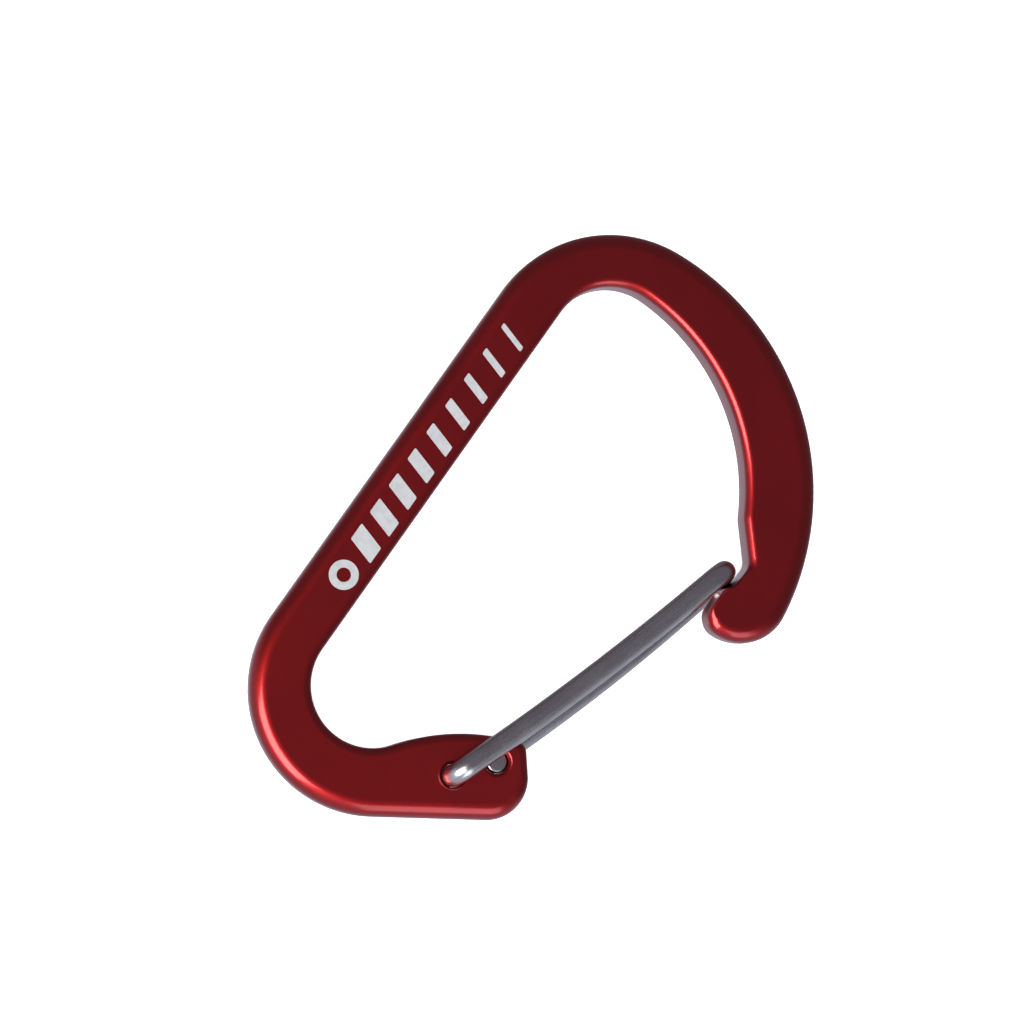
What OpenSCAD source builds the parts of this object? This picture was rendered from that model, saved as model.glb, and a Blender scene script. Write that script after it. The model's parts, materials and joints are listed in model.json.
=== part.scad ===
// Small wire-gate carabiner, the kind carried as a keyring.
// A flat rounded-edge plate bent round in a D, with a sprung wire gate hinged in two offset holes.
// The plate lies in the XY plane, halfway through its thickness at z = 0. +Z faces out of the printed side,
// +Y runs along the spine towards the wide end, and the gate is on the +X side.

/* [Overall size] */
// Length of the body from the small end to the wide end
body_l = 60; // [48:0.5:76]
// Width of the body from the spine to the nose
body_w = 38.1; // [31:0.1:48]
// Thickness of the plate
plate_t = 4; // [3.4:0.1:6]

/* [Body band] */
// Width of the straight spine
spine_w = 5.4; // [4.4:0.1:6.5]
// Width of the band across the wide end
top_w = 5.4; // [4.4:0.1:6.5]
// Width of the band across the small end
foot_w = 5.85; // [4.8:0.05:7]
// Outer radius of the corner between the spine and the wide end
top_r = 12.3; // [10:0.1:14]
// Inner radius of the same corner
top_in_r = 5.7; // [4:0.05:6.5]
// Outer radius of the long curve over the wide end
crown_r = 24.7; // [22:0.1:28]
// Inner radius of the same curve
crown_in_r = 20.6; // [18:0.1:24]
// Outer radius of the small end
bend_r = 11.4; // [10:0.1:13]
// Inner radius of the small end
bend_in_r = 5.55; // [4.5:0.05:6.5]

/* [Edge rounding] */
// Rounding of the outer edges
outer_edge_r = 1.5; // [0.6:0.05:1.65]
// Rounding of the inner edges
inner_edge_r = 0.8; // [0.3:0.05:0.9]
// Rounding of the lobe's edge
lobe_edge_r = 1.1; // [0.4:0.05:1.3]
// Rounding of the edges of the seat in the notch
notch_edge_r = 0.25; // [0.1:0.05:0.4]

/* [Nose] */
// Outer radius of the nose
nose_r = 4.45; // [4:0.05:5.2]
// Distance of the nose centre below the wide end
nose_drop = 22.15; // [21:0.05:24]
// Radius of the lobe that the gate closes behind
lobe_r = 1.7; // [1.5:0.05:2.2]
// Radius of the small corner between the lobe and the notch
lobe_corner_r = 0.5; // [0.4:0.05:0.6]
// Distance of the gate seat from the nose centre, towards the spine
seat_in = 2.3; // [1.9:0.05:2.4]
// Distance of the gate seat above the nose centre
seat_up = 0.6; // [0.5:0.05:1.1]
// Room between the wire and the wall of the seat
seat_gap = 0.25; // [0.2:0.05:0.45]
// How much wider the notch's mouth is than the seat, in radius
mouth_flare = 0.35; // [0.2:0.05:0.6]
// Radius of the swelling above the notch
bump_r = 2.7; // [2:0.1:3.4]

/* [Hinge pad] */
// Radius of the pad's round end
pad_r = 3.6; // [3.2:0.1:4.2]
// Distance of the pad's centre from the gate side of the body
pad_from_side = 13.8; // [12.5:0.1:15]
// Distance of the pad's centre above the small end
pad_from_end = 10.6; // [10:0.1:12]
// Radius of the pad's inner shoulder
shoulder_r = 1; // [0.8:0.05:1.3]
// How far the shoulder is set in from the gate side of the pad
shoulder_in = 2; // [1:0.1:3]
// Height of the shoulder's centre above the pad's centre
shoulder_up = 3.4; // [3:0.05:4]
// Radius of the swelling from the small end up to the pad
swell_r = 19; // [13:0.5:22]

/* [Wire gate] */
// Diameter of the wire
wire_d = 2; // [1.6:0.05:2.4]
// Radial running clearance of a foot in its hole
pin_gap = 0.06; // [0.03:0.01:0.1]
// Room between a leg and the face of the plate
leg_gap = 0.3; // [0.2:0.05:0.6]
// Bend radius of the feet, at the middle of the wire
foot_bend_r = 1.6; // [1.4:0.05:1.9]
// Bend radius at the nose, at the middle of the wire
nose_bend_r = 1.9; // [1.4:0.05:2]
// How far a foot's end stays below the far face of the plate
foot_recess = 0.35; // [0.1:0.05:0.8]
// Bow of the front leg away from the spine
front_bow = 0.35; // [0.1:0.05:0.8]
// Bow of the rear leg away from the spine
rear_bow = 0.4; // [0.1:0.05:0.8]
// Sideways slant of the cross-piece, from the front leg to the rear leg
cross_slant = 1; // [0:0.05:1.2]
// Front foot: distance from the pad's centre towards the spine
front_foot_in = 2.9; // [2.3:0.05:3.1]
// Front foot: distance below the pad's centre
front_foot_down = 1.6; // [1.2:0.05:1.8]
// Rear foot: distance from the pad's centre towards the spine
rear_foot_in = 0.35; // [0:0.05:0.8]
// Rear foot: distance above the pad's centre
rear_foot_up = 1.7; // [1.5:0.05:1.9]
// Depth and extra radius of the countersink round each hole
sink = 0.25; // [0.1:0.05:0.35]

/* [Printed mark] */
// Length of the printed mark along the spine
mark_l = 28.4; // [18:0.1:30]
// Distance of the mark's middle above the middle of the body
mark_up = 0.7; // [-2:0.1:2]
// Bare metal left on each side of the mark
mark_margin = 0.2; // [0:0.05:0.5]
// Thickness of the ink
ink_t = 0.04; // [0.02:0.01:0.1]
// Number of slanted bars in the mark
mark_bars = 9; // [4:1:12]
// Thickness of the heaviest bar
bar_max = 1.7; // [1:0.1:1.8]
// Thickness of the lightest bar
bar_min = 0.5; // [0.3:0.1:0.9]
// How far one end of a bar runs ahead of the other
bar_slant = 0.8; // [0:0.1:1.5]
// Bore of the mark's ring
ring_bore = 1.3; // [0.8:0.1:1.5]
// Gap between the ring and the first bar
ring_gap = 0.85; // [0.4:0.05:1.5]

/* [Hidden] */

eps = 0.02;              // pieces of the outline shorter than this are left out
round_sides = 48;        // flats in a full circle
no_turn = 350;           // a turn along the outline of more degrees than this is a rounding error under zero
outline_tol = 0.02;      // how far a flat of the outline may lie from its arc
edge_steps = 3;          // flats in a quarter round of an edge
edge_overrun = 1;        // how far a cutter reaches past a face
split_gap = 0.02;        // gap between the two halves of the wire at the cross-piece
bow_run = 3;             // length at each end of a leg that the bow leaves straight
tip_chamfer = 0.2;       // chamfer on the end of a foot
wire_sides = 16;         // flats round the wire
wire_shy = 0.002;        // the bent wire is this much thinner than the round foot it grows out of
bend_step = 11;          // degrees from ring to ring in a bend
bow_steps = 6;           // rings in the long bow of a leg
corner_spare = 0.05;     // straight run between the gate seat and the lobe's corner
mouth_in = 0.3;          // the notch's mouth lies this much nearer the spine than the seat
mouth_up = 1.25;         // and this much above it
bump_in = 1.7;           // the swelling above the notch, from the nose centre towards the spine
bump_up = 7.3;           // and above it

wire_r = wire_d / 2;
bore_r = wire_r + pin_gap;
leg_z = plate_t / 2 + leg_gap + wire_r;

// --- Plan of the body -----------------------------------------------------------------------------

// Centre of the nose, from which the notch, the lobe and the swelling above it are placed
nose_c = [body_w / 2 - nose_r, body_l / 2 - nose_drop];
seat_c = nose_c + [-seat_in, seat_up];
seat_r = wire_r + seat_gap;
mouth_c = seat_c + [-mouth_in, mouth_up];
mouth_r = seat_r + mouth_flare;
lobe_c = nose_c - [0, nose_r - lobe_r];
lobe_corner_x = lobe_c[0] - lobe_r + lobe_corner_r;
lobe_corner_drop = leg(seat_r + lobe_corner_r + corner_spare, lobe_corner_x - seat_c[0]);
lobe_corner_c = [lobe_corner_x, seat_c[1] - lobe_corner_drop];
bump_c = nose_c + [-bump_in, bump_up];

// The crown touches the wide end, the nose and the corner over the spine
crown_y = body_l / 2 - crown_r;
crown_c = [nose_c[0] - leg(crown_r - nose_r, crown_y - nose_c[1]), crown_y];
top_x = -body_w / 2 + top_r;
top_c = [top_x, crown_y + leg(crown_r - top_r, top_x - crown_c[0])];

// Its inner curve touches the swelling above the notch and the inner corner over the spine
crown_in_y = body_l / 2 - top_w - crown_in_r;
crown_in_c = [bump_c[0] - leg(crown_in_r + bump_r, crown_in_y - bump_c[1]), crown_in_y];
top_in_x = -body_w / 2 + spine_w + top_in_r;
top_in_c = [top_in_x, crown_in_y + leg(crown_in_r - top_in_r, top_in_x - crown_in_c[0])];

bend_c = [-body_w / 2 + bend_r, -body_l / 2 + bend_r];
bend_in_c = [-body_w / 2 + spine_w + bend_in_r, -body_l / 2 + foot_w + bend_in_r];

// The hinge pad, with the two holes placed from its centre
pad_c = [body_w / 2 - pad_from_side, -body_l / 2 + pad_from_end];
shoulder_c = pad_c + [pad_r - shoulder_r - shoulder_in, shoulder_up];
swell_c = touching(bend_in_c, swell_r + bend_in_r, shoulder_c, swell_r - shoulder_r);
front_foot = pad_c + [-front_foot_in, -front_foot_down];
rear_foot = pad_c + [-rear_foot_in, rear_foot_up];

// Circles that the edge wraps round in turn, anticlockwise about the metal:
// [centre, radius, 1 where the edge bulges or -1 where it is hollow, rounding of the edge]
CIRCLES = [
    [bend_c, bend_r, 1, outer_edge_r],
    [pad_c, pad_r, 1, outer_edge_r],
    [shoulder_c, shoulder_r, 1, inner_edge_r],
    [swell_c, swell_r, 1, inner_edge_r],
    [bend_in_c, bend_in_r, -1, inner_edge_r],
    [top_in_c, top_in_r, -1, inner_edge_r],
    [crown_in_c, crown_in_r, -1, inner_edge_r],
    [bump_c, bump_r, 1, inner_edge_r],
    [mouth_c, mouth_r, -1, inner_edge_r],
    [seat_c, seat_r, -1, notch_edge_r],
    [lobe_corner_c, lobe_corner_r, 1, notch_edge_r],
    [lobe_c, lobe_r, 1, lobe_edge_r],
    [nose_c, nose_r, 1, outer_edge_r],
    [crown_c, crown_r, 1, outer_edge_r],
    [top_c, top_r, 1, outer_edge_r],
];

// Other leg of a right triangle
function leg(long, short) = sqrt(long * long - short * short);

// Point at distance da from a and db from b, on the right of the way from a to b
function touching(a, da, b, db) =
    let (
        way = b - a,
        gap = norm(way),
        along = (da * da - db * db + gap * gap) / (2 * gap),
        unit = way / gap
    )
    a + along * unit + leg(da, along) * [unit[1], -unit[0]];

function mix(a, b, share) = a + (b - a) * share;
function whole_turn(angle) = angle - 360 * floor(angle / 360);

// Direction of the edge's outward normal where it leaves circle a for circle b
function normal_between(a, b) =
    let (way = b[0] - a[0], lean = (a[2] * a[1] - b[2] * b[1]) / norm(way))
    atan2(way[1], way[0]) - acos(max(-1, min(1, lean)));

// Points of the edge on one circle, each [place, outward normal, rounding]
function edge_on(before, here, after) =
    let (
        start = normal_between(before, here),
        turned = whole_turn(here[2] * (normal_between(here, after) - start)),
        sweep = turned > no_turn ? 0 : turned,
        steps = max(1, ceil(sweep / (2 * acos(1 - outline_tol / here[1])))),
        first_r = min(before[3], here[3]),
        last_r = min(here[3], after[3])
    )
    [for (k = [0 : steps])
        let (
            share = k / steps,
            angle = start + here[2] * sweep * share,
            out = [cos(angle), sin(angle)],
            edge_r = share < 0.5 ? mix(first_r, here[3], 2 * share) : mix(here[3], last_r, 2 * share - 1)
        )
        [here[0] + here[2] * here[1] * out, out, edge_r]
    ];

all_edge = [
    for (i = [0 : len(CIRCLES) - 1])
        each edge_on(CIRCLES[(i + len(CIRCLES) - 1) % len(CIRCLES)], CIRCLES[i], CIRCLES[(i + 1) % len(CIRCLES)])
];
EDGE = [
    for (i = [0 : len(all_edge) - 1])
        if (norm(all_edge[i][0] - all_edge[(i + 1) % len(all_edge)][0]) > eps) all_edge[i]
];

// One height of the plate's side: the outline drawn in by its rounding at this angle of the quarter round
function ring(side, angle) = [
    for (p = EDGE)
        let (place = p[0] - p[1] * p[2] * (1 - cos(angle)))
        [place[0], place[1], side * (plate_t / 2 - p[2] * (1 - sin(angle)))]
];

// Triangles that fill the band between the two sides of the outline: i corners on from the start and j corners
// back from it are joined, and the side that gives the shorter join moves on
function fill(points, start, i = 1, j = 0) =
    let (
        n = len(points),
        a = (start + i) % n,
        b = (start - j + n) % n,
        next_a = (a + 1) % n,
        next_b = (b - 1 + n) % n
    )
    i + j == n - 1 ? [] :
    norm(points[next_a] - points[b]) < norm(points[a] - points[next_b])
        ? concat([[b, a, next_a]], fill(points, start, i + 1, j))
        : concat([[next_b, b, a]], fill(points, start, i, j + 1));

// Number of the outline's corner furthest in a direction from a centre
function furthest(points, centre, way) =
    let (reach = [for (p = points) norm(p - centre) < nose_r ? (p - centre) * way : -nose_r])
    search(max(reach), reach)[0];

// --- Sub-parts ------------------------------------------------------------------------------------

// The plate's outline with rounded edges, still without holes
module plate_blank() {
    angles = [for (k = [0 : edge_steps]) 90 * k / edge_steps];
    rings = concat(
        [for (k = [edge_steps : -1 : 0]) ring(-1, angles[k])],
        [for (k = [0 : edge_steps]) ring(1, angles[k])]
    );
    n = len(EDGE);
    last = (len(rings) - 1) * n;
    sides = [
        for (r = [0 : len(rings) - 2])
            for (i = [0 : n - 1])
                let (a = r * n + i, b = r * n + (i + 1) % n)
                each [[a, a + n, b + n], [a, b + n, b]]
    ];
    flat = [for (p = rings[0]) [p[0], p[1]]];
    bottom = fill(flat, furthest(flat, lobe_c, [0, -1]));
    top = [for (t = bottom) [last + t[2], last + t[1], last + t[0]]];
    polyhedron(points = [for (r = rings) each r], faces = concat(bottom, sides, top));
}

// A hole for one foot of the wire, broken at both rims
module foot_hole(place) {
    translate([place[0], place[1], 0]) {
        cylinder(h = plate_t + 2 * edge_overrun, r = bore_r, center = true, $fn = round_sides);
        for (side = [-1, 1])
            rotate([side < 0 ? 180 : 0, 0, 0])
                translate([0, 0, plate_t / 2 - sink])
                    cylinder(h = 2 * sink, r1 = bore_r, r2 = bore_r + 2 * sink, $fn = round_sides);
    }
}

module body_plate() {
    color([0.42, 0.06, 0.09])
        difference() {
            plate_blank();
            foot_hole(front_foot);
            foot_hole(rear_foot);
        }
}

function unit(v) = v / norm(v);

// How far from its corner a bend begins
function bend_set(before, corner, after, bend) =
    bend * tan(acos(unit(corner - before) * unit(after - corner)) / 2);

// Places along the bend round one corner, each [place, direction]
function bend_at(before, corner, after, bend) =
    let (
        u = unit(corner - before),
        w = unit(after - corner),
        m = unit(w - (w * u) * u),
        centre = corner - u * bend_set(before, corner, after, bend) + m * bend,
        sweep = acos(u * w),
        steps = max(bow_steps, ceil(sweep / bend_step))
    )
    [for (k = [0 : steps])
        let (a = sweep * k / steps)
        [centre - m * bend * cos(a) + u * bend * sin(a), u * cos(a) + m * sin(a)]
    ];

// Places along a wire through a list of corners, with a bend radius at each inner corner
function wire_line(corners, bends) =
    let (last = len(corners) - 1)
    concat(
        [[corners[0], unit(corners[1] - corners[0])]],
        [for (i = [1 : last - 1]) each bend_at(corners[i - 1], corners[i], corners[i + 1], bends[i - 1])],
        [[corners[last], unit(corners[last] - corners[last - 1])]]
    );

// Ring of points round the wire at one place; beside is a direction that the wire never runs in
function wire_ring(place, beside) =
    let (d = place[1], v = unit(beside - (beside * d) * d), w = cross(d, v))
    [for (k = [0 : wire_sides - 1])
        let (a = 360 * k / wire_sides)
        place[0] + (wire_r - wire_shy) * (cos(a) * v + sin(a) * w)
    ];

// The same ring cut level at height z
function level_ring(place, beside, z) = [
    for (p = wire_ring(place, beside)) p + place[1] * (z - p[2]) / place[1][2]
];

// Bent wire whose far end is cut level at height z
module bent_wire(corners, bends, beside, z) {
    line = wire_line(corners, bends);
    last = len(line) - 1;
    rings = concat(
        [for (i = [0 : last - 1]) wire_ring(line[i], beside)],
        [level_ring(line[last], beside, z)]
    );
    n = wire_sides;
    sides = [
        for (r = [0 : last - 1])
            for (i = [0 : n - 1])
                let (a = r * n + i, b = r * n + (i + 1) % n)
                each [[a, a + n, b + n], [a, b + n, b]]
    ];
    start_cap = [[for (i = [0 : n - 1]) i]];
    end_cap = [[for (i = [n - 1 : -1 : 0]) last * n + i]];
    polyhedron(points = [for (r = rings) each r], faces = concat(start_cap, sides, end_cap));
}

// Round foot that turns in its hole, from its chamfered end up to the bend
module foot_pin(side, foot) {
    straight = leg_z - foot_bend_r + plate_t / 2 - foot_recess;
    translate([foot[0], foot[1], 0])
        rotate([side < 0 ? 180 : 0, 0, 0])
            translate([0, 0, foot_recess - plate_t / 2]) {
                cylinder(h = tip_chamfer, r1 = wire_r - tip_chamfer, r2 = wire_r, $fn = round_sides);
                translate([0, 0, tip_chamfer])
                    cylinder(h = straight - tip_chamfer, r = wire_r, $fn = round_sides);
            }
}

// Half of the wire gate: foot, leg and half of the cross-piece, on one side of the plate
module half_gate(side, foot, bow) {
    nose_end = seat_c - [side * cross_slant / 2, 0];
    way = nose_end - foot;
    out = [way[1], -way[0]] / norm(way);
    half = norm(way) / 2;
    middle = (foot + nose_end) / 2 + 2 * bow * out;
    bow_r = (half - bow_run) * half / (2 * bow);
    corners = [
        [foot[0], foot[1], 0],
        [foot[0], foot[1], side * leg_z],
        [middle[0], middle[1], side * leg_z],
        [nose_end[0], nose_end[1], side * leg_z],
        [seat_c[0], seat_c[1], 0],
    ];
    beside = [out[0], out[1], 0];
    bent_wire(corners, [foot_bend_r, bow_r, nose_bend_r], beside, side * split_gap / 2);
    foot_pin(side, foot);
}

module gate_wire_front() {
    color([0.5, 0.52, 0.56]) half_gate(1, front_foot, front_bow);
}

module gate_wire_rear() {
    color([0.45, 0.47, 0.51]) half_gate(-1, rear_foot, rear_bow);
}

// Printed mark: a plain ring and a run of slanted bars that fades along the spine
module printed_mark() {
    low_x = -body_w / 2 + outer_edge_r + mark_margin;
    high_x = -body_w / 2 + spine_w - inner_edge_r - mark_margin;
    mark_w = high_x - low_x;
    low_y = mark_up - mark_l / 2;
    bars_from = low_y + mark_w + ring_gap;
    pitch = (mark_l - mark_w - ring_gap - bar_slant - bar_min) / (mark_bars - 1);
    color([0.8, 0.81, 0.84])
        translate([0, 0, plate_t / 2])
            linear_extrude(height = ink_t) {
                translate([(low_x + high_x) / 2, low_y + mark_w / 2])
                    difference() {
                        circle(d = mark_w, $fn = round_sides);
                        circle(d = ring_bore, $fn = round_sides);
                    }
                for (k = [0 : mark_bars - 1])
                    translate([0, bars_from + pitch * k])
                        mark_bar(low_x, high_x, mix(bar_max, bar_min, k / (mark_bars - 1)));
            }
}

module mark_bar(low_x, high_x, thick) {
    polygon([[low_x, bar_slant], [high_x, 0], [high_x, thick], [low_x, bar_slant + thick]]);
}

body_plate();
gate_wire_front();
gate_wire_rear();
printed_mark();
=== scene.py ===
import cmath
import json
import math

import bmesh
import bpy
from mathutils import Matrix, Vector


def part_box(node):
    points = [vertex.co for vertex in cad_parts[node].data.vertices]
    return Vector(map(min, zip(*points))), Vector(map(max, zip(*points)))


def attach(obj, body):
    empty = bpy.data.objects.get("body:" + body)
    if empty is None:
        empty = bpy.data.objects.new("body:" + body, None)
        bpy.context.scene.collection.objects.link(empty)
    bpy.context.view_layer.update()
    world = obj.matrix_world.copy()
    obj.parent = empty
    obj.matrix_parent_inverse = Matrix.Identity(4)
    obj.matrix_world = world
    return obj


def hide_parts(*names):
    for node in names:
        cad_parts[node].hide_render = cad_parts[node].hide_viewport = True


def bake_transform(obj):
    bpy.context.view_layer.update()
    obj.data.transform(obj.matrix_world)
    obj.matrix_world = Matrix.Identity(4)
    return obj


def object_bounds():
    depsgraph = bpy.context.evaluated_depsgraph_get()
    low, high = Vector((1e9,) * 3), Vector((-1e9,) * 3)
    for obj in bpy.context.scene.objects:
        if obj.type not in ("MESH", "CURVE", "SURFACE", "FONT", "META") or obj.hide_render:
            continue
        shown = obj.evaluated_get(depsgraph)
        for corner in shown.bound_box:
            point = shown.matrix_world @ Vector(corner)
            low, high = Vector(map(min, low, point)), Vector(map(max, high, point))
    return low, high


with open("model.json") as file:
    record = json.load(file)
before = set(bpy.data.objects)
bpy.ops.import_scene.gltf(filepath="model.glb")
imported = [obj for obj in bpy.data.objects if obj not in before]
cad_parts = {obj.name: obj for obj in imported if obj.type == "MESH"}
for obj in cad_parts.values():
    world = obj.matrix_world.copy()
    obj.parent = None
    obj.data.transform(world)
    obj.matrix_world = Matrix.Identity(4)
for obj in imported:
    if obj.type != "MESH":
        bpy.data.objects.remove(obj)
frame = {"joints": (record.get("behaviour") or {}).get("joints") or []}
cad_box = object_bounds()

# Places in the plan are complex numbers, x + y i. All sizes below are in millimetres, as in the CAD source,
# and a mesh is brought to metres when it is made.
MM = 0.001

# --- Sizes of the frame ---------------------------------------------------------------------------

plate_low, plate_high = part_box("body_plate")
BODY_W, BODY_L, PLATE_T = ((plate_high[i] - plate_low[i]) / MM for i in range(3))
HINGES = {joint["child"]: complex(*joint["pos_m"][:2]) / MM for joint in frame["joints"]}
FLOOR_Z = cad_box[0].z

# Body band
SPINE_W = 5.4
TOP_W = 5.4
FOOT_W = 5.85
TOP_R = 12.3
TOP_IN_R = 5.7
CROWN_R = 24.7
CROWN_IN_R = 20.6
BEND_R = 11.4
BEND_IN_R = 5.55

# Rounding of the outer edges, the inner edges, the lobe's edge and the seat's edges in the notch
OUTER_EDGE_R = 1.5
INNER_EDGE_R = 0.8
LOBE_EDGE_R = 1.1
NOTCH_EDGE_R = 0.25

# Nose, with the notch that the gate closes in
NOSE_R = 4.45
NOSE_DROP = 22.15
LOBE_R = 1.7
LOBE_CORNER_R = 0.5
SEAT = complex(-2.3, 0.6)
MOUTH = complex(-0.3, 1.25)
BUMP = complex(-1.7, 7.3)
SEAT_GAP = 0.25
MOUTH_FLARE = 0.35
CORNER_SPARE = 0.05
BUMP_R = 2.7
SEAT_CIRCLE = 9          # place in outline_circles() of the circle that the closed gate lies in

# Hinge pad
PAD_R = 3.6
PAD = complex(-13.8, 10.6)
SHOULDER_R = 1
SHOULDER_IN = 2
SHOULDER_UP = 3.4
SWELL_R = 19
SINK = 0.25              # depth and extra radius of the countersink round each hole
RIM_R = 0.08             # small round where the countersink meets the face and the hole

# Wire gate
WIRE_R = 1
PIN_GAP = 0.06
LEG_GAP = 0.3
FOOT_BEND_R = 1.6
NOSE_BEND_R = 1.9
FOOT_RECESS = 0.35
FRONT_BOW = 0.35
REAR_BOW = 0.4
CROSS_SLANT = 1
BOW_RUN = 3
TIP_R = 0.3
SEAM_RUN = 4             # the front piece of the wire goes this far down the rear leg

# Printed mark
MARK_BARS = 9
BAR_MAX = 1.7
BAR_MIN = 0.5
BAR_SLANT = 0.8
RING_BORE = 1.3
RING_GAP = 0.85
INK_CORNER_R = 0.14

# Fineness of the meshes
OUTLINE_TOL = 0.0025     # how far a flat of the outline may lie from its arc
NO_SWEEP = 0.97 * math.tau  # an arc that seems to turn further than this turns by nothing at all
EDGE_STEPS = 12          # flats in a quarter round of an edge
TIP_STEPS = 8            # flats in the round of a foot's end
HOLD = 0.03              # width of the strip that keeps a flat face flat beside a rounded edge
CUT_HOLD = HOLD / 3      # the same where the wire is cut at the seam
ROUND_SIDES = 96
WIRE_SIDES = 40
WIRE_STEP = 0.5          # longest run between two rings of the wire
BEND_STEP = math.radians(4)

# Floor
FLOOR_FLAT = 1400        # radius of its flat part
FLOOR_SWEEP = 500        # radius of the sweep up from it
FLOOR_WALL = 900         # height of the wall above the sweep
FLOOR_PINHOLE = 0.001    # its faces are all bands, so this pinhole is left in the middle

# Lighter side of the room
LIGHT_SIDE_AZIMUTH = 275
LIGHT_SIDE_DROP = 30     # degrees below the horizon
LIGHT_SIDE_SPREAD = (-0.15, 0.4)  # cosines of the angle to that side between which the room brightens

LEG_Z = PLATE_T / 2 + LEG_GAP + WIRE_R


def leg(long, short):
    """Other leg of a right triangle."""
    return math.sqrt(long * long - short * short)


def touching(a, from_a, b, from_b):
    """Place at these distances from a and b, on the right of the way from a to b."""
    way = b - a
    along = (from_a**2 - from_b**2 + abs(way) ** 2) / (2 * abs(way))
    return a + way / abs(way) * complex(along, -leg(from_a, along))


# --- Plan of the body -----------------------------------------------------------------------------


def outline_circles():
    """The circles that the plate's edge wraps round in turn, anticlockwise about the metal.

    Each is its centre, its radius, 1 where the edge bulges or -1 where it is hollow, and the rounding.
    """
    nose = complex(BODY_W / 2 - NOSE_R, BODY_L / 2 - NOSE_DROP)
    seat = nose + SEAT
    seat_r = WIRE_R + SEAT_GAP
    lobe = nose - complex(0, NOSE_R - LOBE_R)
    corner_x = lobe.real - LOBE_R + LOBE_CORNER_R
    corner_drop = leg(seat_r + LOBE_CORNER_R + CORNER_SPARE, corner_x - seat.real)
    bump = nose + BUMP

    crown_y = BODY_L / 2 - CROWN_R
    crown_x = nose.real - leg(CROWN_R - NOSE_R, crown_y - nose.imag)
    top_x = -BODY_W / 2 + TOP_R
    top_y = crown_y + leg(CROWN_R - TOP_R, top_x - crown_x)

    crown_in_y = BODY_L / 2 - TOP_W - CROWN_IN_R
    crown_in_x = bump.real - leg(CROWN_IN_R + BUMP_R, crown_in_y - bump.imag)
    top_in_x = -BODY_W / 2 + SPINE_W + TOP_IN_R
    top_in_y = crown_in_y + leg(CROWN_IN_R - TOP_IN_R, top_in_x - crown_in_x)

    bend = complex(BEND_R - BODY_W / 2, BEND_R - BODY_L / 2)
    bend_in = complex(SPINE_W + BEND_IN_R - BODY_W / 2, FOOT_W + BEND_IN_R - BODY_L / 2)
    pad = complex(BODY_W / 2, -BODY_L / 2) + PAD
    shoulder = pad + complex(PAD_R - SHOULDER_R - SHOULDER_IN, SHOULDER_UP)
    swell = touching(bend_in, SWELL_R + BEND_IN_R, shoulder, SWELL_R - SHOULDER_R)

    return [
        (bend, BEND_R, 1, OUTER_EDGE_R),
        (pad, PAD_R, 1, OUTER_EDGE_R),
        (shoulder, SHOULDER_R, 1, INNER_EDGE_R),
        (swell, SWELL_R, 1, INNER_EDGE_R),
        (bend_in, BEND_IN_R, -1, INNER_EDGE_R),
        (complex(top_in_x, top_in_y), TOP_IN_R, -1, INNER_EDGE_R),
        (complex(crown_in_x, crown_in_y), CROWN_IN_R, -1, INNER_EDGE_R),
        (bump, BUMP_R, 1, INNER_EDGE_R),
        (seat + MOUTH, seat_r + MOUTH_FLARE, -1, INNER_EDGE_R),
        (seat, seat_r, -1, NOTCH_EDGE_R),
        (complex(corner_x, seat.imag - corner_drop), LOBE_CORNER_R, 1, NOTCH_EDGE_R),
        (lobe, LOBE_R, 1, LOBE_EDGE_R),
        (nose, NOSE_R, 1, OUTER_EDGE_R),
        (complex(crown_x, crown_y), CROWN_R, 1, OUTER_EDGE_R),
        (complex(top_x, top_y), TOP_R, 1, OUTER_EDGE_R),
    ]


def normal_between(a, b):
    """Direction of the edge's outward normal where it leaves circle a for circle b."""
    way = b[0] - a[0]
    lean = (a[2] * a[1] - b[2] * b[1]) / abs(way)
    return cmath.phase(way) - math.acos(max(-1, min(1, lean)))


def mix(a, b, share):
    return a + (b - a) * share


def edge_on(before, here, after):
    """Points of the edge on one circle: place, outward normal and rounding."""
    centre, radius, turn, rounding = here
    start = normal_between(before, here)
    sweep = turn * (normal_between(here, after) - start) % math.tau
    if sweep > NO_SWEEP:
        sweep = 0
    steps = max(1, math.ceil(sweep / (2 * math.acos(1 - OUTLINE_TOL / radius))))
    first, last = min(before[3], rounding), min(rounding, after[3])
    points = []
    for k in range(steps + 1):
        share = k / steps
        out = cmath.rect(1, start + turn * sweep * share)
        if share < 0.5:
            edge_r = mix(first, rounding, 2 * share)
        else:
            edge_r = mix(rounding, last, 2 * share - 1)
        points.append((centre + turn * radius * out, out, edge_r))
    return points


def outline():
    """The whole edge of the plate, without points that lie on each other."""
    circles = outline_circles()
    points = []
    for i, here in enumerate(circles):
        for point in edge_on(circles[i - 1], here, circles[(i + 1) % len(circles)]):
            if not points or abs(point[0] - points[-1][0]) > OUTLINE_TOL:
                points.append(point)
    if abs(points[0][0] - points[-1][0]) < OUTLINE_TOL:
        points.pop()
    return points


# --- Mesh helpers ---------------------------------------------------------------------------------


def finish_mesh(name, bm):
    """Object from a mesh drawn in millimetres."""
    bmesh.ops.recalc_face_normals(bm, faces=bm.faces)
    bmesh.ops.scale(bm, vec=(MM, MM, MM), verts=bm.verts)
    mesh = bpy.data.meshes.new(name)
    bm.to_mesh(mesh)
    bm.free()
    mesh.shade_smooth()
    obj = bpy.data.objects.new(name, mesh)
    bpy.context.scene.collection.objects.link(obj)
    return obj


def add_ring(bm, places):
    return [bm.verts.new(place) for place in places]


def add_circle(bm, centre, radius, z):
    """A level ring of vertices round a place in the plan."""
    turns = [centre + cmath.rect(radius, math.tau * k / ROUND_SIDES) for k in range(ROUND_SIDES)]
    return add_ring(bm, [(p.real, p.imag, z) for p in turns])


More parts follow.
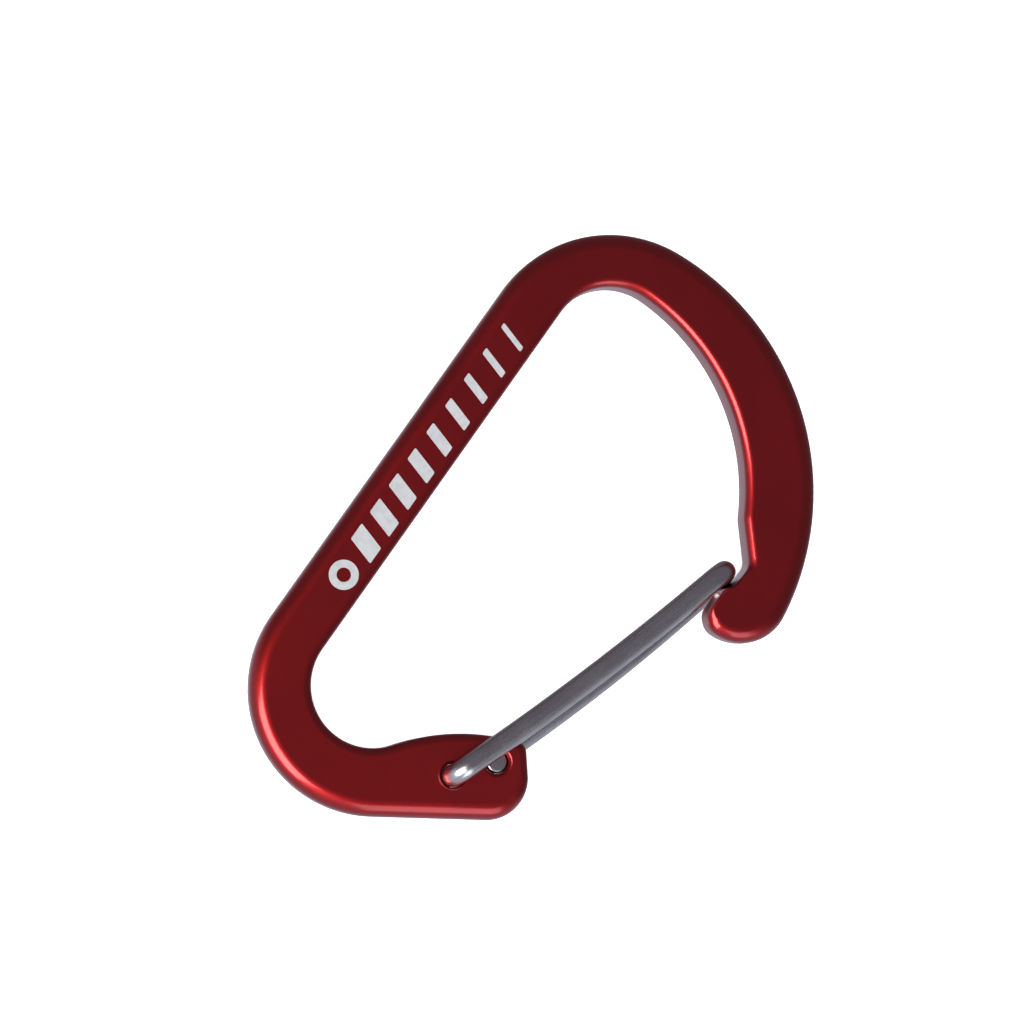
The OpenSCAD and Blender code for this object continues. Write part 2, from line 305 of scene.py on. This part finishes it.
def bridge(bm, a, b):
    """Faces between two rings with the same number of vertices."""
    for i in range(len(a)):
        j = (i + 1) % len(a)
        bm.faces.new((a[i], a[j], b[j], b[i]))


# --- Plate ----------------------------------------------------------------------------------------


def plate_profile():
    """Rings of the plate's side from one flat face to the other: share drawn in, height and extra draw."""
    quarter = [math.pi / 2 * k / EDGE_STEPS for k in range(EDGE_STEPS + 1)]
    lower = [(-1, angle, 0) for angle in reversed(quarter)]
    upper = [(1, angle, 0) for angle in quarter]
    return [(-1, math.pi / 2, HOLD), *lower, *upper, (1, math.pi / 2, HOLD)]


def hole_profile():
    """Radius and height of the rings down one hole, broken at both rims."""
    bore = WIRE_R + PIN_GAP
    half = PLATE_T / 2
    upper = [
        (bore + SINK + RIM_R + HOLD, half),
        (bore + SINK + RIM_R, half),
        (bore + SINK + RIM_R / 3, half - RIM_R / 6),
        (bore + SINK - RIM_R / 3, half - RIM_R / 2),
        (bore + RIM_R / 3, half - SINK + RIM_R / 4),
        (bore, half - SINK - RIM_R),
        (bore, half - SINK - RIM_R - HOLD),
    ]
    return upper + [(radius, -z) for radius, z in reversed(upper)]


def hole_rings(bm, place):
    """The wall of one hole, and its first and last ring."""
    rings = [add_circle(bm, place, radius, z) for radius, z in hole_profile()]
    for a, b in zip(rings, rings[1:]):
        bridge(bm, a, b)
    return rings[0], rings[-1]


def make_plate():
    edge = outline()
    bm = bmesh.new()
    rings = []
    for side, angle, extra in plate_profile():
        places = []
        for place, out, rounding in edge:
            drawn = place - out * (rounding * (1 - math.cos(angle)) + extra)
            places.append((drawn.real, drawn.imag, side * (PLATE_T / 2 - rounding * (1 - math.sin(angle)))))
        rings.append(add_ring(bm, places))
    for a, b in zip(rings, rings[1:]):
        bridge(bm, a, b)
    holes = [hole_rings(bm, place) for place in HINGES.values()]
    for rim, hole_ends in ((rings[-1], [h[0] for h in holes]), (rings[0], [h[1] for h in holes])):
        loops = [rim, *hole_ends]
        edges = [bm.edges.get((a, b)) for loop in loops for a, b in zip(loop, loop[1:] + loop[:1])]
        bmesh.ops.triangle_fill(bm, edges=edges, use_beauty=True, use_dissolve=False)
    return finish_mesh("plate", bm)


# --- Wire gate ------------------------------------------------------------------------------------


def bend_points(before, corner, after, radius):
    """Points of the bend round one corner."""
    u = (corner - before).normalized()
    w = (after - corner).normalized()
    m = (w - u * w.dot(u)).normalized()
    sweep = u.angle(w)
    centre = corner - u * (radius * math.tan(sweep / 2)) + m * radius
    steps = math.ceil(max(sweep / BEND_STEP, sweep * radius / WIRE_STEP))
    angles = [sweep * k / steps for k in range(steps + 1)]
    return [centre - m * radius * math.cos(a) + u * radius * math.sin(a) for a in angles]


def half_gate(side, foot, seat, bow):
    """Corners and bends of half the gate, from the foot's end to the cross-piece."""
    nose_end = seat - side * CROSS_SLANT / 2
    way = nose_end - foot
    half = abs(way) / 2
    middle = (foot + nose_end) / 2 + 2 * bow * way / abs(way) * -1j
    corners = [
        Vector((foot.real, foot.imag, side * (FOOT_RECESS - PLATE_T / 2))),
        Vector((foot.real, foot.imag, side * LEG_Z)),
        Vector((middle.real, middle.imag, side * LEG_Z)),
        Vector((nose_end.real, nose_end.imag, side * LEG_Z)),
    ]
    return corners, [FOOT_BEND_R, (half - BOW_RUN) * half / (2 * bow), NOSE_BEND_R]


def wire_line():
    """Points along the middle of the whole wire, from the front foot's end to the rear foot's end."""
    seat = outline_circles()[SEAT_CIRCLE][0]
    front, front_bends = half_gate(1, HINGES["gate_front"], seat, FRONT_BOW)
    rear, rear_bends = half_gate(-1, HINGES["gate_rear"], seat, REAR_BOW)
    corners = front + rear[::-1]
    line = [corners[0]]
    for i, radius in enumerate(front_bends + rear_bends[::-1]):
        line += bend_points(*corners[i : i + 3], radius)
    line.append(corners[-1])
    return line


def spaced(line):
    """The same line with more points, so that no run is longer than WIRE_STEP."""
    points = [line[0]]
    for a, b in zip(line, line[1:]):
        steps = math.ceil((b - a).length / WIRE_STEP)
        points += [a.lerp(b, k / steps) for k in range(1, steps + 1)]
    return points


def carried_frames(line):
    """A direction across the wire at each point, turned no more than the wire itself."""
    ends = len(line) - 1
    tangents = [(line[min(i + 1, ends)] - line[max(i - 1, 0)]).normalized() for i in range(len(line))]
    across = [Vector((1, 0, 0))]
    for before, here in zip(tangents, tangents[1:]):
        turned = before.rotation_difference(here) @ across[-1]
        across.append((turned - here * turned.dot(here)).normalized())
    return list(zip(line, tangents, across))


def make_tube(name, places, rounded_start, rounded_end):
    """A closed tube through places. A rounded end is a foot's end, and the other is the cut at the seam."""
    rings = [(point, tangent, across, WIRE_R) for point, tangent, across in places]
    quarter = [math.pi / 2 * k / TIP_STEPS for k in range(TIP_STEPS + 1)]

    def end_rings(place, inward, rounded):
        point, tangent, across = place
        if not rounded:
            return [(point + inward * depth, tangent, across, WIRE_R) for depth in (0, CUT_HOLD)]
        profile = [(TIP_R * (1 - math.sin(a)), WIRE_R - TIP_R * (1 - math.cos(a))) for a in quarter]
        flat = [(profile[-1][0], profile[-1][1] - HOLD)]
        shaped = flat + profile[::-1]
        return [(point + inward * depth, tangent, across, radius) for depth, radius in shaped]

    def trimmed(rings, place, inward, rounded):
        reach = TIP_R if rounded else CUT_HOLD
        while (rings[0][0] - place[0]).dot(inward) <= reach:
            rings = rings[1:]
        return rings

    start, end = places[0], places[-1]
    rings = trimmed(rings, start, start[1], rounded_start)
    rings = trimmed(rings[::-1], end, -end[1], rounded_end)[::-1]
    rings = end_rings(start, start[1], rounded_start) + rings + end_rings(end, -end[1], rounded_end)[::-1]

    bm = bmesh.new()
    grain = bm.verts.layers.float_vector.new("wire_grain")
    loops = []
    run = 0
    last = rings[0][0]
    for point, tangent, across, radius in rings:
        run += (point - last).length
        last = point
        beside = tangent.cross(across)
        loop = []
        for k in range(WIRE_SIDES):
            a = math.tau * k / WIRE_SIDES
            vert = bm.verts.new(point + radius * (across * math.cos(a) + beside * math.sin(a)))
            vert[grain] = (radius * math.cos(a), radius * math.sin(a), run)
            loop.append(vert)
        loops.append(loop)
    for a, b in zip(loops, loops[1:]):
        bridge(bm, a, b)
    bm.faces.new(loops[0])
    bm.faces.new(loops[-1])
    return finish_mesh(name, bm)


def make_wire():
    """The gate's wire in two pieces, which meet on the rear leg."""
    line = spaced(wire_line())
    rear_end = next(i for i, p in enumerate(line) if p.z < WIRE_STEP - LEG_Z)
    seam = next(i for i in range(rear_end, len(line)) if (line[i] - line[rear_end]).length > SEAM_RUN)
    places = carried_frames(line)
    front = make_tube("gate_wire", places[: seam + 1], True, False)
    rear = make_tube("gate_wire_foot", places[seam:], False, True)
    return front, rear


# --- Printed mark ---------------------------------------------------------------------------------


def raise_ink(bm, faces, height):
    raised = bmesh.ops.extrude_face_region(bm, geom=faces)["geom"]
    verts = [part for part in raised if isinstance(part, bmesh.types.BMVert)]
    bmesh.ops.translate(bm, vec=(0, 0, height), verts=verts)


def make_mark():
    """The ring and the slanted bars, with the soft corners of printed ink."""
    low, high = (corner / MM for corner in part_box("printed_mark"))
    width = high.x - low.x
    bm = bmesh.new()
    centre = complex((low.x + high.x) / 2, low.y + width / 2)
    bridge(bm, *(add_circle(bm, centre, radius, low.z) for radius in (width / 2, RING_BORE / 2)))
    pitch = (high.y - low.y - width - RING_GAP - BAR_SLANT - BAR_MIN) / (MARK_BARS - 1)
    for k in range(MARK_BARS):
        y = low.y + width + RING_GAP + pitch * k
        thick = mix(BAR_MAX, BAR_MIN, k / (MARK_BARS - 1))
        corners = [(low.x, y + BAR_SLANT), (high.x, y), (high.x, y + thick), (low.x, y + BAR_SLANT + thick)]
        verts = add_ring(bm, [(*corner, low.z) for corner in corners])
        bm.faces.new(verts)
        bmesh.ops.bevel(bm, geom=verts, offset=INK_CORNER_R, segments=5, profile=0.5, affect="VERTICES")
    raise_ink(bm, list(bm.faces), high.z - low.z)
    obj = finish_mesh("mark_print", bm)
    obj.data.shade_flat()
    return obj


# --- Materials ------------------------------------------------------------------------------------


class Nodes:
    """Short names for building one material."""

    def __init__(self, name):
        self.material = bpy.data.materials.new(name)
        self.material.use_nodes = True
        self.tree = self.material.node_tree
        self.shader = self.tree.nodes["Principled BSDF"]

    def add(self, kind, inputs=(), **settings):
        node = self.tree.nodes.new(kind)
        for key, value in settings.items():
            setattr(node, key, value)
        for key, value in dict(inputs).items():
            self.put(node.inputs[key], value)
        return node

    def put(self, socket, value):
        if isinstance(value, bpy.types.NodeSocket):
            self.tree.links.new(value, socket)
        else:
            socket.default_value = value

    def set(self, **values):
        for key, value in values.items():
            self.put(self.shader.inputs[key.replace("_", " ")], value)

    def place(self):
        """Place on the object, in metres."""
        return self.add("ShaderNodeTexCoord").outputs["Object"]

    def noise(self, vector, scale, detail, roughness):
        inputs = {"Vector": vector, "Scale": scale, "Detail": detail, "Roughness": roughness}
        return self.add("ShaderNodeTexNoise", inputs).outputs["Fac"]

    def ramp(self, value, low, high, to_low=0.0, to_high=1.0):
        """value from low..high spread over to_low..to_high."""
        inputs = {"Value": value, "From Min": low, "From Max": high, "To Min": to_low, "To Max": to_high}
        return self.add("ShaderNodeMapRange", inputs).outputs["Result"]

    def blend_colors(self, share, a, b):
        node = self.add("ShaderNodeMix", data_type="RGBA")
        self.put(node.inputs["Factor"], share)
        self.put(node.inputs["A"], a)
        self.put(node.inputs["B"], b)
        return node.outputs["Result"]

    def bump(self, height, distance):
        """Normal for a surface that rises by distance, in metres, where height is 1."""
        inputs = {"Height": height, "Distance": distance, "Strength": 1.0}
        return self.add("ShaderNodeBump", inputs).outputs["Normal"]


def anodised_red():
    """Dark red dyed oxide on bead-blasted aluminium."""
    n = Nodes("anodised_red")
    place = n.place()
    blast = n.noise(place, scale=9000, detail=3, roughness=0.6)
    dye = n.noise(place, scale=140, detail=3, roughness=0.55)
    base = n.blend_colors(n.ramp(dye, 0.35, 0.65), (0.40, 0.008, 0.010, 1), (0.45, 0.010, 0.012, 1))
    roughness = n.ramp(blast, 0.3, 0.7, to_low=0.36, to_high=0.43)
    n.set(Base_Color=base, Metallic=1.0, Roughness=roughness)
    n.set(Coat_Weight=1.0, Coat_Roughness=0.16, Coat_IOR=1.5)
    n.set(Normal=n.bump(blast, 0.000006))
    return n.material


def gate_steel():
    """Bright drawn stainless wire, with fine marks along its length."""
    n = Nodes("gate_steel")
    grain = n.add("ShaderNodeAttribute", attribute_name="wire_grain").outputs["Vector"]
    stretch = {0: grain, 1: (1, 1, 0.03)}
    drawn = n.add("ShaderNodeVectorMath", stretch, operation="MULTIPLY").outputs[0]
    lines = n.noise(drawn, scale=9, detail=4, roughness=0.65)
    stain = n.noise(n.place(), scale=260, detail=3, roughness=0.5)
    base = n.blend_colors(n.ramp(stain, 0.35, 0.65), (0.55, 0.52, 0.54, 1), (0.63, 0.60, 0.62, 1))
    roughness = n.ramp(lines, 0.35, 0.65, to_low=0.23, to_high=0.30)
    n.set(Base_Color=base, Metallic=1.0, Roughness=roughness)
    n.set(Normal=n.bump(lines, 0.000004))
    return n.material


def mark_ink():
    """Matt white pad-printing ink, a little uneven in its cover."""
    n = Nodes("mark_ink")
    cover = n.noise(n.place(), scale=2200, detail=4, roughness=0.6)
    base = n.blend_colors(n.ramp(cover, 0.3, 0.6), (0.30, 0.305, 0.32, 1), (0.35, 0.36, 0.375, 1))
    n.set(Base_Color=base, Roughness=n.ramp(cover, 0.3, 0.7, to_low=0.55, to_high=0.7))
    n.set(Normal=n.bump(cover, 0.000008))
    return n.material


def dress(obj, material):
    obj.data.materials.clear()
    obj.data.materials.append(material)


# --- Surroundings ---------------------------------------------------------------------------------


def make_floor():
    """A round pale floor that sweeps up into a backdrop well away from the object."""
    profile = [(FLOOR_PINHOLE, 0), (FLOOR_FLAT / 2, 0), (FLOOR_FLAT, 0)]
    for k in range(1, EDGE_STEPS + 1):
        angle = math.pi / 2 * k / EDGE_STEPS
        profile.append((FLOOR_FLAT + FLOOR_SWEEP * math.sin(angle), FLOOR_SWEEP * (1 - math.cos(angle))))
    profile.append((FLOOR_FLAT + FLOOR_SWEEP, FLOOR_SWEEP + FLOOR_WALL))
    bm = bmesh.new()
    rings = [add_circle(bm, 0, radius, z) for radius, z in profile]
    for a, b in zip(rings, rings[1:]):
        bridge(bm, a, b)
    floor = finish_mesh("floor", bm)
    floor.location.z = FLOOR_Z
    floor.visible_glossy = False
    n = Nodes("floor")
    n.set(Base_Color=(0.9, 0.9, 0.9, 1), Roughness=0.9)
    n.set(Emission_Color=(1, 1, 1, 1), Emission_Strength=0.6)
    floor.data.materials.append(n.material)


def direction(azimuth, elevation):
    """Unit vector at these degrees from +X towards +Y, and above the horizon."""
    level = math.cos(math.radians(elevation))
    turn = math.radians(azimuth)
    return Vector((level * math.cos(turn), level * math.sin(turn), math.sin(math.radians(elevation))))


def softbox(name, azimuth, elevation, distance, size, radiance, color=(1, 1, 1)):
    """An area light aimed at the object's middle."""
    data = bpy.data.lights.new(name, "AREA")
    data.shape = "RECTANGLE"
    data.size, data.size_y = size
    data.energy = radiance * size[0] * size[1] * math.pi
    data.color = color
    lamp = bpy.data.objects.new(name, data)
    way = direction(azimuth, elevation)
    lamp.location = way * distance
    lamp.rotation_euler = way.to_track_quat("Z", "Y").to_euler()
    bpy.context.scene.collection.objects.link(lamp)
    return lamp


def make_light():
    """A key light from the small end, a cool weak one from the gate side and a soft one overhead.

    The overhead light only lightens the floor and the ink, and leaves the metal's reflections clean.
    """
    warm, cool = (1, 0.97, 0.93), (0.86, 0.94, 1)
    softbox("key", 246, 45, distance=1.0, size=(0.72, 0.68), radiance=6.6, color=warm)
    softbox("gate_side", 320, 30, distance=1.0, size=(0.5, 0.72), radiance=1.8, color=cool)
    overhead = softbox("overhead", 0, 90, distance=1.2, size=(1.9, 1.9), radiance=1.0)
    overhead.visible_glossy = False
    make_surround()
    bpy.context.scene.view_settings.view_transform = "Standard"


def make_surround():
    """A dim room that is lighter low down on the side of the small end and the gate."""
    world = bpy.data.worlds.new("studio")
    world.use_nodes = True
    tree = world.node_tree
    looking = tree.nodes.new("ShaderNodeTexCoord").outputs["Generated"]
    lean = tree.nodes.new("ShaderNodeVectorMath")
    lean.operation = "DOT_PRODUCT"
    lean.inputs[1].default_value = direction(LIGHT_SIDE_AZIMUTH, -LIGHT_SIDE_DROP)
    tree.links.new(looking, lean.inputs[0])
    share = tree.nodes.new("ShaderNodeMapRange")
    share.interpolation_type = "SMOOTHSTEP"
    share.inputs["From Min"].default_value = LIGHT_SIDE_SPREAD[0]
    share.inputs["From Max"].default_value = LIGHT_SIDE_SPREAD[1]
    tree.links.new(lean.outputs["Value"], share.inputs["Value"])
    blend = tree.nodes.new("ShaderNodeMix")
    blend.data_type = "RGBA"
    blend.inputs["A"].default_value = (0.15, 0.145, 0.165, 1)
    blend.inputs["B"].default_value = (0.45, 0.48, 0.55, 1)
    tree.links.new(share.outputs["Result"], blend.inputs["Factor"])
    tree.links.new(blend.outputs["Result"], tree.nodes["Background"].inputs["Color"])
    bpy.context.scene.world = world


def make_camera():
    """The photo's view, from further off and without lens shift."""
    target = Vector((-6.732, 1.694, 0)) * MM
    distance = 400 * MM
    tilt = math.radians(10.789)
    turn = math.radians(-119.965)
    up_turn = math.radians(125.175)
    back = Vector((math.sin(tilt) * math.cos(turn), math.sin(tilt) * math.sin(turn), math.cos(tilt)))
    right = Vector((math.cos(up_turn), math.sin(up_turn), 0)).cross(back).normalized()
    up = back.cross(right)
    data = bpy.data.cameras.new("camera")
    data.lens = 155.965
    camera = bpy.data.objects.new("camera", data)
    turned = Matrix((right, up, back)).transposed().to_4x4()
    camera.matrix_world = Matrix.Translation(target + back * distance) @ turned
    bpy.context.scene.collection.objects.link(camera)
    bpy.context.scene.camera = camera


# --- The model ------------------------------------------------------------------------------------

make_camera()
make_light()
make_floor()

red = anodised_red()
steel = gate_steel()

plate = make_plate()
dress(plate, red)
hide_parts("body_plate")
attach(plate, "plate")

wire, wire_foot = make_wire()
dress(wire, steel)
dress(wire_foot, steel)
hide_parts("gate_wire_front")
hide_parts("gate_wire_rear")
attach(wire, "gate_front")
rear_foot = HINGES["gate_rear"]
up_leg = outline_circles()[SEAT_CIRCLE][0] + CROSS_SLANT / 2 - rear_foot
up_leg /= abs(up_leg)
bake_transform(wire_foot)

mark = make_mark()
dress(mark, mark_ink())
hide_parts("printed_mark")
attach(mark, "plate")
